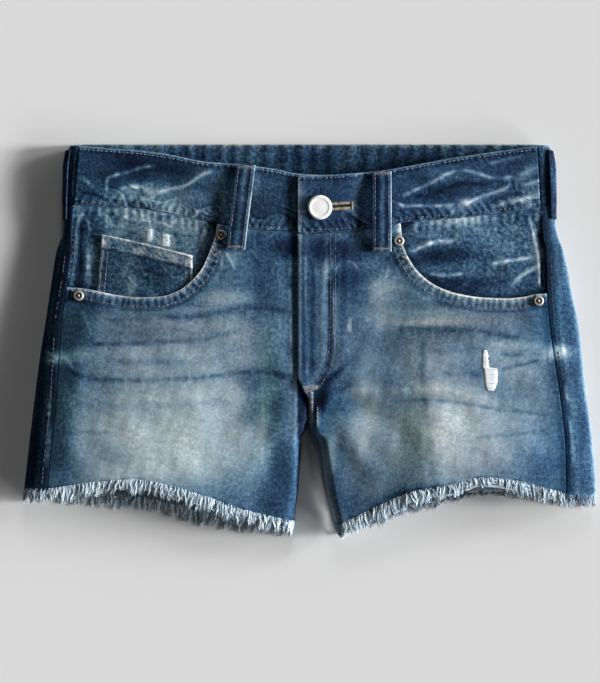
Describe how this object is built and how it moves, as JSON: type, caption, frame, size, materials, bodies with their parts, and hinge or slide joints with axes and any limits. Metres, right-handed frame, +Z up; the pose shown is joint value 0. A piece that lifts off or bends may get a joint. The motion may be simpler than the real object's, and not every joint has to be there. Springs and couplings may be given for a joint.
{
  "type": "denim shorts",
  "caption": "Short denim shorts laid flat, with front pockets, coin pocket, belt loops, shank button, gathered back waistband and frayed cut hems.",
  "frame": {"origin": "on the table under the middle of the garment's box", "axes": "+X to the right of the front as seen from above, +Y towards the waist, +Z up from the table, out of the front"},
  "size_m": [0.414, 0.288, 0.0204],
  "materials": {
    "washed_denim": "washed blue twill",
    "dark_denim": "less faded blue twill",
    "frayed_cotton": "loose pale cotton threads",
    "pale_metal": "worn pale metal",
    "button_metal": "polished, pale"
  },
  "bodies": {
    "root": {"back_panel_l": "washed_denim", "back_panel_r": "washed_denim", "back_pocket_l": "washed_denim", "back_pocket_r": "washed_denim", "back_yoke_l": "washed_denim", "back_yoke_r": "washed_denim", "belt_loop_back": "washed_denim", "belt_loop_front_l": "washed_denim", "belt_loop_front_r": "washed_denim", "belt_loop_side_l": "dark_denim", "belt_loop_side_r": "dark_denim", "button": "button_metal", "coin_pocket": "dark_denim", "front_panel_l": "washed_denim", "front_panel_r": "washed_denim", "hem_fringe_back_l": "frayed_cotton", "hem_fringe_back_r": "frayed_cotton", "hem_fringe_front_l": "frayed_cotton", "hem_fringe_front_r": "frayed_cotton", "pocket_facing_l": "dark_denim", "pocket_facing_r": "dark_denim", "rivet_low_l": "pale_metal", "rivet_low_r": "pale_metal", "rivet_top_l": "pale_metal", "rivet_top_r": "pale_metal", "waistband_back": "dark_denim", "waistband_front_l": "washed_denim", "waistband_front_r": "washed_denim"}
  },
  "joints": []
}
